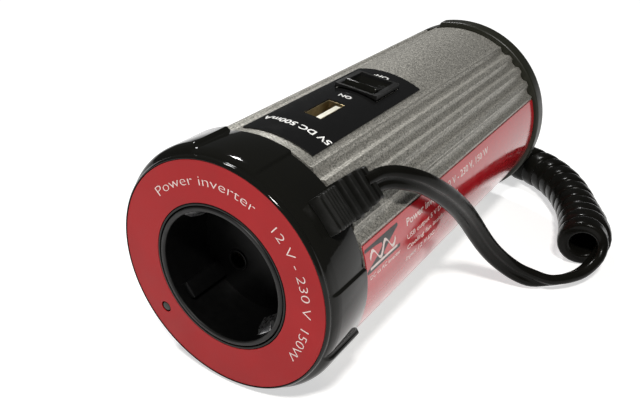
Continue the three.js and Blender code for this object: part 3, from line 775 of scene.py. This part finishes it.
def front_cap():
    """The front collar: its section changes between the bare collar, a pad and the lead's recess."""
    bore, mouth, inside = SPIGOT_BORE_R, 21.25, 32.4
    spigot = [
        (SPIGOT_R, COLLAR_END), (SPIGOT_R, 26), (bore, 26), (bore, 20), (inside, 16.4), (inside, 3.2),
        (mouth, 3.2),
    ]
    plate = [(mouth, 0.1), (21.85, 0.1), (21.85, 0.6), (34.15, 0.6), (34.15, 0), (34.4, 0), (34.9, 0.6)]
    groove = [(34.9, 1.3), (34.7, 1.5), (34.7, 1.85)]
    collar = [(35.0, 2.1), (35.35, 2.8), (35.65, 3.8), (COLLAR_R, 5), (COLLAR_R, COLLAR_END)]
    pad = [(35.3, 2.3), (36.1, 2.9), (36.7, 3.8), (PAD_R, 5), (PAD_R, COLLAR_END)]
    recess = [(34.9, 2.1), (35.1, 2.8), (35.2, 3.8), (RECESS_R, 5), (RECESS_R, COLLAR_END - 0.6)]
    recess_range = (CORNER - RECESS_HALF, CORNER + RECESS_HALF)
    walls = [a for pad_range in PADS for a in pad_range] + [*recess_range]

    def section_at(angle):
        raised = max(between(angle, *pad_range) for pad_range in PADS)
        lowered = between(angle, *recess_range)
        plain = 1 - raised - lowered
        outer = plain * np.array(collar) + raised * np.array(pad) + lowered * np.array(recess)
        return fillet([*plate, *groove, *outer.tolist(), *spigot], 0.3, 2)

    cap = turned("front_cap_fine", section_at, GLOSS, wall_angles(walls))
    x, z = polar(LED_R, LED_ANGLE)
    carve(cap, [rod(LED_HOLE_R, -CUT_PAST, 10, x, z, 40)])
    stand_in(cap, "gloss_black", "front_cap")


def rear_cap():
    """The rear cap, whose rim is cut back at the foot and along the can's left side."""
    end = LENGTH
    bore, spigot_end, step = SPIGOT_BORE_R, 146, REAR_START + 2
    inside = [(33.6, step), (bore, step), (bore, spigot_end), (SPIGOT_R, spigot_end), (SPIGOT_R, REAR_START)]
    outer = [
        (PAD_R - 0.5, REAR_START), (PAD_R, REAR_START + 0.5), (PAD_R, end - 3.6), (36.6, end - 2.2),
        (35.6, end - 0.9), (34.2, end - 0.2), (32.6, end),
    ]
    face = end - 2.3
    foot = (FOOT_ANGLE - FOOT_HALF, FOOT_ANGLE + FOOT_HALF)
    flush = (CORNER + PAD_EDGE, MIRRORED_FOOT + FOOT_HALF)

    def section_at(angle):
        at_foot, at_flush = between(angle, *foot), between(angle, *flush)
        rim = np.array(outer)
        past_foot, past_recess = np.maximum(0, rim[:, 0] - FOOT_R), np.maximum(0, rim[:, 0] - RECESS_R)
        rim[:, 0] -= at_foot * past_foot + at_flush * past_recess
        wall = fillet([(33.6, face), *inside, *rim.tolist()], 0.4, 3, False)
        return [(0, face), *wall, (0, end)]

    angles = wall_angles([*foot, *flush], ROUND_STEP)
    cap = turned("rear_cap_fine", section_at, REAR, angles, closed=False)
    pitch = 360 / VENTS
    cutters = [
        radial_slot(pitch / 2 + pitch * i, 8.5, 18.5, 2.2, face - 1.7, end + CUT_PAST) for i in range(VENTS)
    ]
    for angle in PORT_ANGLES:
        x, z = polar(PORT_R, angle)
        cutters.append(rod(SCREW_HOLE_R, end - 2, end + CUT_PAST, x, z, 36))
    carve(cap, cutters)
    stand_in(cap, "gloss_black", "rear_cap")


# ---- Mains socket ----
SOCKET_OUTER_R = SOCKET_R + 1.5
KEY_TURNS = (0, 180)  # the keys and the pin holes share an axis, and the earth strips lie across it
CLIP_TURNS = (90, 270)


def socket_insert():
    """The cup of the recess, with its pin holes and the windows of the earth strips."""
    outer, floor, back = SOCKET_OUTER_R, SOCKET_DEPTH, SOCKET_DEPTH + 3
    section = [
        (0, floor), (SOCKET_R, floor), (SOCKET_R, 0.5), (SOCKET_R + 0.35, 0), (outer - 0.3, 0), (outer, 0.35),
        (outer, back), (0, back),
    ]
    rounded = [section[0], *fillet(section[1:-1], 0.45, 4, False), section[-1]]
    # The cup, its keys and the pin hole lips take the darker black that paints the recess's shade.
    cup = turned("socket_insert", lambda angle: rounded, SOCKET_SHADE, closed=False)
    cutters = []
    for turn in KEY_TURNS:
        x, z = polar(PIN_SPACING / 2, SOCKET_ANGLE + turn)
        cutters.append(rod(PIN_HOLE_R, 10, 40, x, z, 40))
    for turn in CLIP_TURNS:
        cutters.append(radial_box(SOCKET_ANGLE + turn, 6.6, SOCKET_R - CUT_PAST, SOCKET_R + 0.9, 3.2, 16.7))
    carve(cup, cutters)
    stand_in(cup, "satin_black", "socket_cup")


def socket_lip():
    """The rounded edge of the cup, which shines a little more than the inside, whose darker black is painted shade."""
    inner, outer, low, high = SOCKET_R - 0.05, SOCKET_OUTER_R + 0.05, 0.4, -0.05
    band = fillet([(inner, low), (SOCKET_R + 0.35, high), (SOCKET_OUTER_R - 0.3, high), (outer, low)], 0.2, 3)
    lip = turned("socket_lip", lambda angle: band, SATIN, sharp=60)
    stand_in(lip, "satin_black")


def socket_keys():
    for i, turn in enumerate(KEY_TURNS):
        r0, r1 = SOCKET_R - 2.2, SOCKET_R + 0.4
        key = radial_box(SOCKET_ANGLE + turn, 5.2, r0, r1, 3, SOCKET_DEPTH + 0.5, f"socket_key_{i + 1}", SOCKET_SHADE)
        soften(key, 0.35, 3)
        stand_in(key, "satin_black")


def pin_hole_lips():
    inner, outer, low, high = PIN_HOLE_R + 0.05, PIN_HOLE_R + 0.7, SOCKET_DEPTH - 0.02, SOCKET_DEPTH - 0.5
    section = fillet([(inner, low), (inner, high), (outer, high), (outer, low)], 0.2, 2)
    for i, turn in enumerate(KEY_TURNS):
        x, z = polar(PIN_SPACING / 2, SOCKET_ANGLE + turn)
        angles = np.arange(0, 360, 9)
        ring = turned(f"pin_hole_lip_{i + 1}", lambda angle: section, SOCKET_SHADE, angles, sharp=32)
        ring.data.transform(CAN @ Matrix.Translation((x, 0, z)) @ CAN.inverted())
        stand_in(ring, "satin_black")


# ---- Housing ----
LAND_TOP_HALF = 22.4
LAND_SIDE_HALF = 27.1
LAND_STEPS = 36
FINS = 4
RIDGE_SHARE = 0.14  # of the pitch of the fins, on either side of a groove
GROOVE_WALL = 1.9  # degrees that a groove's wall takes
HOUSING_GAP = 0.3  # between the housing and a cap
HOUSING_STATIONS = 24
END_FACE = 0.985  # how far in the outline of the end faces is drawn
HOUSING_SHARP = 50


def housing_outline():
    """The extrusion's outside: four smooth lands with grooves between them."""
    points = []
    halves = (LAND_SIDE_HALF, LAND_TOP_HALF, LAND_SIDE_HALF, LAND_TOP_HALF)
    for i, middle in enumerate((0, 90, 180, 270)):
        start, end = middle - halves[i], middle + halves[i]
        points += [polar(BODY_R, start + (end - start) * k / LAND_STEPS) for k in range(LAND_STEPS + 1)]
        next_start = middle + 90 - halves[(i + 1) % 4]
        pitch = (next_start - end) / FINS
        for k in range(FINS):
            at = end + pitch * k
            near, far = at + pitch * RIDGE_SHARE, at + pitch * (1 - RIDGE_SHARE)
            groove = [
                polar(RIDGE_R, near),
                polar(GROOVE_R + 0.12, near + GROOVE_WALL),
                polar(GROOVE_R, at + pitch / 2),
                polar(GROOVE_R + 0.12, far - GROOVE_WALL),
                polar(RIDGE_R, far),
            ]
            edge = [polar(RIDGE_R - 0.2, at), *groove, polar(RIDGE_R - 0.2, at + pitch)]
            points += [tuple(p) for p in fillet(edge, 0.45, 4, False)[1:-1]]
    return points


def housing():
    start, end = COLLAR_END + HOUSING_GAP, REAR_START - HOUSING_GAP
    outline = housing_outline()
    drawn_in = [(a * END_FACE, b * END_FACE) for a, b in outline]
    rings = [[(a, start, b) for a, b in drawn_in]]
    rings += [[(a, y, b) for a, b in outline] for y in np.linspace(start, end, HOUSING_STATIONS)]
    rings += [[(a, end, b) for a, b in drawn_in]]
    shell = lofted("housing", rings, PAINT, sharp=HOUSING_SHARP)
    low, high = 24, 40
    usb_x, usb_y, switch_half = 3.2, 6.9, 7.2
    cutters = [
        upright_box(-usb_x, usb_x, USB_Y - usb_y, USB_Y + usb_y, low, high),
        upright_box(-switch_half, switch_half, SWITCH_Y - switch_half, SWITCH_Y + switch_half, low, high),
        rod(BORE_R, start - CUT_PAST, end + CUT_PAST),
    ]
    carve(shell, cutters, sharp=HOUSING_SHARP)
    stand_in(shell, "housing_aluminium", "body_shell")


# ---- Printed film ----
FILM_SLICE = 0.6  # width of the strips that a film bends round the can in
INK_THICK = 0.03
SIDE_HALF = 26.5
PANEL_INK_R = BODY_R + 0.44
SIDE_INK_R = BODY_R + 0.37
LETTER_R = 28.2


def flat_shape(name, outlines, thick):
    """A mesh of a flat outline with holes, in the XY plane, of a thickness."""
    curve = bpy.data.curves.new(name, "CURVE")
    curve.dimensions = "2D"
    curve.fill_mode = "BOTH"
    curve.extrude = thick / 2
    for outline in outlines:
        spline = curve.splines.new("POLY")
        spline.points.add(len(outline) - 1)
        for point, (x, y) in zip(spline.points, outline):
            point.co = (x, y, 0, 1)
        spline.use_cyclic_u = True
    return mesh_of_curve(curve)


def mesh_of_curve(curve):
    holder = placed("holder", curve)
    bpy.context.view_layer.update()
    mesh = bpy.data.meshes.new_from_object(holder.evaluated_get(bpy.context.evaluated_depsgraph_get()))
    bpy.data.objects.remove(holder)
    return mesh


def laid(name, mesh, place, look, slice_step=None):
    """Lays a flat mesh on a surface: place(x, y, height) gives each point in the can's frame."""
    bm = bmesh.new()
    bm.from_mesh(mesh)
    bmesh.ops.remove_doubles(bm, verts=bm.verts, dist=1e-5)
    if slice_step:
        xs = [v.co.x for v in bm.verts]
        for k in range(math.ceil(min(xs) / slice_step), math.floor(max(xs) / slice_step) + 1):
            everything = [*bm.verts, *bm.edges, *bm.faces]
            bmesh.ops.bisect_plane(bm, geom=everything, plane_co=(k * slice_step, 0, 0), plane_no=(1, 0, 0))
    for v in bm.verts:
        v.co = Vector(place(v.co.x, v.co.y, v.co.z))
    bmesh.ops.recalc_face_normals(bm, faces=bm.faces)
    made = bpy.data.meshes.new(name)
    bm.to_mesh(made)
    bm.free()
    made.transform(CAN)
    return finish_object(name, made, look, SHARP_ANGLE)


def wrap(angle, radius, y0=0.0, way=-1):
    """Lays x round the can from an angle and y along it, way = -1 where x runs clockwise."""
    def place(x, y, height):
        a, b = polar(radius + height, angle + way * math.degrees(x / radius))
        return a, y0 + (y if way < 0 else -y), b
    return place


def rectangle(x0, x1, y0, y1, corner=0.0):
    outline = [(x0, y0), (x1, y0), (x1, y1), (x0, y1)]
    return [tuple(p) for p in fillet(outline, corner, 5)] if corner else outline


def panel():
    """The film on top, with holes for the USB socket and the switch."""
    half = math.radians(PANEL_HALF) * BODY_R
    outlines = [
        rectangle(-half, half, *PANEL, 0.5),
        rectangle(-3.05, 3.05, USB_Y - 6.75, USB_Y + 6.75, 0.4),
        rectangle(-7.7, 7.7, SWITCH_Y - 7.6, SWITCH_Y + 7.6, 0.6),
    ]
    film = laid("panel_film", flat_shape("panel", outlines, 0.36), wrap(90, BODY_R + 0.24), FILM, FILM_SLICE)
    stand_in(film, "panel_film", "panel_label")


def side_film():
    half = math.radians(SIDE_HALF) * BODY_R
    outlines = [rectangle(-half, half, COLLAR_END + 0.5, REAR_START - 0.5, 0.6)]
    film = laid("side_film", flat_shape("side", outlines, 0.3), wrap(0.3, BODY_R + 0.2), SIDE_RED, FILM_SLICE)
    stand_in(film, "red_label", "side_label")


def ring_film():
    """The round label, with holes for the socket and the lamp."""
    thick = 0.3

    def on_face(x, y, height):
        return x, LABEL_FACE - (height - thick / 2), y

    led_hole = circle(LED_HOLE_R - 0.05, *polar(LED_R, LED_ANGLE), 32)
    outlines = [circle(33.95, sides=180), circle(22.1, sides=140), led_hole]
    film = laid("ring_film", flat_shape("ring", outlines, thick), on_face, RING_RED)
    stand_in(film, "red_label", "front_label")


# ---- Lettering ----
INK_DEPTH = 0.02  # half the thickness of a letter


def lettering(name, text, size, width, place, look, weight, slice_step=0.5, shear=0.0):
    """Generic words as a thin layer of ink on a surface, centred, and drawn out to a width."""
    curve = bpy.data.curves.new(name, "FONT")
    curve.body = text
    curve.size = size
    curve.offset = weight
    curve.extrude = INK_DEPTH
    curve.align_x = "CENTER"
    curve.align_y = "CENTER"
    curve.shear = shear
    curve.resolution_u = 3
    mesh = mesh_of_curve(curve)
    xs = [v.co.x for v in mesh.vertices]
    mesh.transform(Matrix.Diagonal((width / (max(xs) - min(xs)), 1, 1, 1)))
    ink = laid(name, mesh, place, look, slice_step)
    stand_in(ink, "red_label")


def round_the_ring(angle, radius):
    """Lays words clockwise round the front label, with the tops of the letters outwards."""
    def place(x, y, height):
        a, b = polar(radius + y, angle - math.degrees(x / radius))
        return a, LABEL_FACE - INK_DEPTH - height, b
    return place


def round_words(name, text, size, start, end):
    """Words on the front label between two angles, clockwise, as seen in the part's frame."""
    middle = (start + end) / 2 + math.degrees(ROLL)
    width = math.radians(start - end) * LETTER_R
    lettering(name, text, size, width, round_the_ring(middle, LETTER_R), INK, -0.07, None)


def panel_words(name, text, size, width, angle, y, weight):
    """Words on the panel, round an angle as seen in the part's frame."""
    place = wrap(angle + math.degrees(ROLL), PANEL_INK_R, y, 1)
    lettering(name, text, size, width, place, WHITE_INK, weight)


def printed_words():
    round_words("ring_words", "Power inverter", 4.0, 134, 62)
    round_words("ring_ratings", "12 V - 230 V  150W", 3.9, 49, -35)
    panel_words("usb_words", "5V DC 500mA", 3.4, 22.5, 81.5, 30.8, 0.06)
    panel_words("on_word", "ON", 2.6, 4.2, 83, 57.4, 0.05)
    panel_words("off_word", "OFF", 2.6, 5.4, 83, 80, 0.05)


def along_side(degrees, y, surface):
    """Lays x along the can from y, and y upwards round it from an angle seen in the part's frame."""
    def place(x, up, height):
        a, b = polar(surface + height, degrees + math.degrees(ROLL + up / BODY_R))
        return a, y + x, b
    return place


def side_symbol():
    """A dark patch with a plain wave over a bar, which stands for alternating current."""
    angle, start = 17, 18.7
    patch_shape = flat_shape("patch", [rectangle(0, 18.3, -7.2, 0, 0.5)], INK_THICK)
    patch = laid("side_patch", patch_shape, along_side(angle, start, SIDE_INK_R), GREY_INK, FILM_SLICE)
    stand_in(patch, "red_label")
    periods, steps, step, height, level = 2, 20, 0.35, 1.7, -3.4
    angles = [2 * math.pi * k / steps for k in range(periods * steps + 1)]
    wave = [(2 + step * k, level + height * math.sin(a)) for k, a in enumerate(angles)]
    stroke = [(x - 0.15, y + 0.5) for x, y in wave] + [(x + 0.15, y - 0.5) for x, y in reversed(wave)]
    symbol_shape = flat_shape("symbol", [rectangle(1.6, 16.6, -6.5, -5.8), stroke], INK_THICK)
    symbol = laid("side_symbol", symbol_shape, along_side(angle, start, SIDE_INK_R + 0.04), INK, FILM_SLICE)
    stand_in(symbol, "red_label")


def side_words(name, text, size, width, degrees, start=41.5, weight=0.0, shear=0.0):
    """A line of words along the can from a start, at an angle as seen in the part's frame."""
    place = along_side(degrees, start + width / 2, SIDE_INK_R)
    lettering(name, text, size, width, place, INK, weight, None, shear)


def side_print():
    side_symbol()
    side_words("side_small", "DC to AC inverter", 1.8, 17, 2.6, 20)
    side_words("side_title", "Power inverter 12 V - 230 V, 150 W", 3.1, 62, 12.9, weight=0.03, shear=0.1)
    side_words("side_line_1", "USB output 5 V DC, 500 mA", 2.2, 36, 5.6)
    side_words("side_line_2", "Cooling fan inside", 2.2, 25, 0)
    side_words("side_line_3", "Input 12 V DC", 2.2, 19, -6)


# ---- USB socket, switch and small metal ----
def usb_socket():
    refined("usb_shell", BRASS, 0.1, 2)
    refined("usb_tongue", WHITE, 0.2, 3)
    half_width = 0.5
    for i, offset in enumerate((-3.5, -1, 1, 3.5)):
        y0, y1 = USB_Y + offset - half_width, USB_Y + offset + half_width
        strip = upright_box(0.38, 0.52, y0, y1, 26, 34, f"usb_strip_{i + 1}", BRASS)
        stand_in(strip, "brass")


def switch():
    refined("switch_frame", SATIN, 0.45, 4)
    refined("switch_rocker", GLOSS, 0.4, 4)


def small_parts():
    refined("status_led", LED, 0.4, 4)
    for i in (1, 2):
        refined(f"earth_clip_{i}", STEEL, 0.15, 2)


# ---- Strain relief ----
def relief_ring(y, half, top, base):
    """A rounded rectangle across the lead's exit, whose underside follows the can."""
    side = 35.9
    upper = fillet([(half, side), (half, top), (-half, top), (-half, side)], 1.1, 5, False)
    under = [(s, math.sqrt(base * base - s * s)) for s in np.linspace(-half, half, 9)]
    outline = at_angle([(r, s) for s, r in [*upper, *under]], CORNER)
    return [(a, y, b) for a, b in outline]


def relief_stations():
    """The sleeve along Y: each station has its y, half its width and its top's distance from the axis."""
    block, top_face, neck, end = 5.2, 39.8, (3.3, 37.6), 27
    land, groove = (block, top_face), (block - 0.2, top_face - 0.2)
    stations = [(8, 4.9, 38.4), (8.3, block, 38.8), (9, block, 38.8), (9.05, 5.0, 39.4), (9.4, *land)]
    for y in np.arange(10, 14.4, 1.15):
        stations += [(y, *land), (y + 0.15, *groove), (y + 0.35, *groove), (y + 0.5, *land)]
    stations += [(14.7, *land), (15, 4.9, 39.5), (15.15, *neck), (16.5, *neck)]
    for i, y in enumerate((16.6, 20.6, 24.4)):
        half, top = 5.6 - 0.2 * i, top_face + 0.2 * i
        edge = (half - 0.35, top - 0.35)
        stations += [(y, *edge), (y + 0.3, half, top), (y + 1.8, half, top), (y + 2.1, *edge)]
        stations += [(y + 2.15, *neck), (min(y + 3.9, end), *neck)]
    return stations + [(27.1, 4.7, 40.3), (27.7, 4.9, 40.5), (28.3, 4.9, 40.5), (28.6, 4.6, 40.2)]


def strain_relief():
    on_recess, on_housing = RECESS_R + 0.15, BODY_R + 0.6
    rings = [
        relief_ring(y, half, top, on_recess if y < COLLAR_END else on_housing)
        for y, half, top in relief_stations()
    ]
    sleeve = lofted("strain_relief", rings, SOFT, sharp=45)
    stand_in(sleeve, "black_rubber", "cord_strain_relief")


# ---- 12 V plug ----
PLUG_AT = (-52, 45.3, 12)
PLUG = PART @ Matrix.Translation(PLUG_AT) @ Matrix.Rotation(math.pi, 4, "Z")
GRIP_R = 12
NOSE_R = 10.3
NOSE_END = 80
PLUG_SIDES = 96


def spun(name, profile, look, slot, node, rounding=0.35, hollow=False, body="inverter"):
    """A turned piece of the plug. A solid one starts and ends on the axis."""
    if hollow:
        section = fillet(profile, rounding, 3)
    else:
        section = [profile[0], *fillet(profile[1:-1], rounding, 3, False), profile[-1]]
    angles = np.arange(0, 360, 360 / PLUG_SIDES)
    piece = turned(name, lambda angle: section, look, angles, PLUG, closed=hollow)
    return stand_in(piece, slot, node, body=body)


def plug_sleeve():
    rib, neck = 5.6, 4.8
    ribs = [p for y in (2.2, 5.4, 8.6) for p in ((rib, y), (rib, y + 1.8), (neck, y + 1.8), (neck, y + 3.2))]
    boot = [(0, 0), (neck, 0), (neck, 2.2), *ribs, (6.4, 12.2), (6.4, 14), (0, 14)]
    spun("plug_sleeve", boot, SOFT, "black_rubber", "plug_boot")


def plug_grip():
    """The body of the plug, from its grip to its nose, with a slot for each side contact."""
    bottom, bore, bore_start, start = GRIP_R - 0.7, 5.2, 36, 14.3
    grooves = []
    for y in (32, 36, 40, 44):
        grooves += [(GRIP_R, y), (bottom, y + 0.3), (bottom, y + 1.3), (GRIP_R, y + 1.6)]
    grip = [
        (0, start), (7.4, start), (9.6, 17), (11.2, 22), (GRIP_R, 28), *grooves, (GRIP_R, 50), (11.4, 53.5),
        (NOSE_R, 55.5), (NOSE_R, NOSE_END - 1), (NOSE_R - 1, NOSE_END), (bore, NOSE_END), (bore, bore_start),
        (0, bore_start),
    ]
    body = spun("plug_grip", grip, SATIN, "satin_black", "plug_body")
    slots = [upright_box(low, low + 6.7, 61, 77, -2.6, 2.6, matrix=PLUG) for low in (-13, 6.3)]
    carve(body, slots)


def plug():
    plug_sleeve()
    plug_grip()
    nut = [(4.4, NOSE_END + 0.3), (8.8, NOSE_END + 0.3), (8.8, 83), (7.2, 86), (4.4, 86)]
    spun("plug_ring", nut, STEEL, "steel", "plug_nut", 0.25, hollow=True)
    flange, back, stem = 4.7, 77.5, 4
    dome = [(stem, 88.4), (3.7, 89.5), (3.2, 90.2), (2.5, 90.7), (1.8, 91)]
    tip = [(0, back), (flange, back), (flange, back + 2.4), (stem, back + 2.4), *dome, (0, 91)]
    spun("plug_point", tip, BRASS, "brass", "plug_tip", 0.3, body="plug_centre_contact")
    for i in (1, 2):
        refined(f"plug_contact_{i}", STEEL, 0.3, 3)


# ---- Looks of the CAD nodes that stay ----
def paint_cad_nodes():
    """Gives each CAD node the look of the kind of piece that its name starts with."""
    looks = {
        "socket_contact": BRASS, "switch_terminal": BRASS, "front_screw": STEEL, "rear_screw": STEEL,
        "usb_board": BOARD, "main_board": BOARD, "fan_frame": SATIN, "fan_rotor": SATIN,
        "transformer_core": FERRITE, "control_chip": FERRITE, "power_transistor": FERRITE,
        "transformer_winding": COPPER, "input_choke": COPPER, "board_fuse": COPPER,
        "input_capacitor": SLEEVE, "output_capacitor": SLEEVE, "heat_bar": ALUMINIUM, "plug_fuse": GLASS,
    }
    for name, node in frame["nodes"].items():
        for start, look in looks.items():
            if not name.startswith(start):
                continue
            if not node.material_slots:
                node.data.materials.append(look)
            for slot in node.material_slots:
                slot.material = look


# ---- Stage ----
FLOOR_HALF = 40.0  # metres, so that its far edge lies at the horizon
FLOOR_GAP = 0.0002


def make_floor():
    mesh = bpy.data.meshes.new("floor")
    half, low = FLOOR_HALF, CAD_BOX[0][2] - FLOOR_GAP
    corners = [(-half, -half, low), (half, -half, low), (half, half, low), (-half, half, low)]
    mesh.from_pydata(corners, [], [(0, 1, 2, 3)])
    floor = placed("floor", mesh)
    look = shader("floor_white", (0.6, 0.6, 0.6), 0.6, emission_strength=0.6)
    principled_of(look).inputs["Emission Color"].default_value = (1, 1, 1, 1)
    colour_between(look, noise_of(look, 12), (0.59, 0.59, 0.585), (0.61, 0.61, 0.61))
    mesh.materials.append(look)
    floor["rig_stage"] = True


def add_light(name, place, target, size, power, color=(1, 1, 1)):
    """A rectangular lamp at a place in metres, turned towards a target."""
    data = bpy.data.lights.new(name, "AREA")
    data.shape = "RECTANGLE"
    data.size, data.size_y = size
    data.energy = power
    data.color = color
    light = placed(name, data)
    light.location = place
    light.rotation_euler = (Vector(target) - Vector(place)).to_track_quat("-Z", "Y").to_euler()


def make_light():
    world = bpy.data.worlds.new("world")
    world.use_nodes = True
    background = world.node_tree.nodes["Background"]
    background.inputs["Color"].default_value = (0.95, 0.97, 1, 1)
    background.inputs["Strength"].default_value = 0.06
    bpy.context.scene.world = world
    middle = (0, 0, 0.03)
    add_light("key", (0.22, -0.38, 0.58), middle, (0.09, 0.06), 4.6, (1, 0.98, 0.95))
    add_light("back", (-0.42, 0.42, 0.9), middle, (0.13, 0.13), 6.2)
    bpy.context.scene.view_settings.view_transform = "Standard"


make_camera()
cord, cord_path = make_cord()
front_cap()
rear_cap()
socket_insert()
socket_lip()
socket_keys()
pin_hole_lips()
housing()
panel()
side_film()
ring_film()
printed_words()
side_print()
usb_socket()
switch()
small_parts()
strain_relief()
plug()
paint_cad_nodes()
make_floor()
make_light()

tuple(MM * c for c in LEAD[0])

sizes = {name: [list(corner) for corner in bounds] for name, bounds in (("cad", CAD_BOX), ("visual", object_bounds()))}
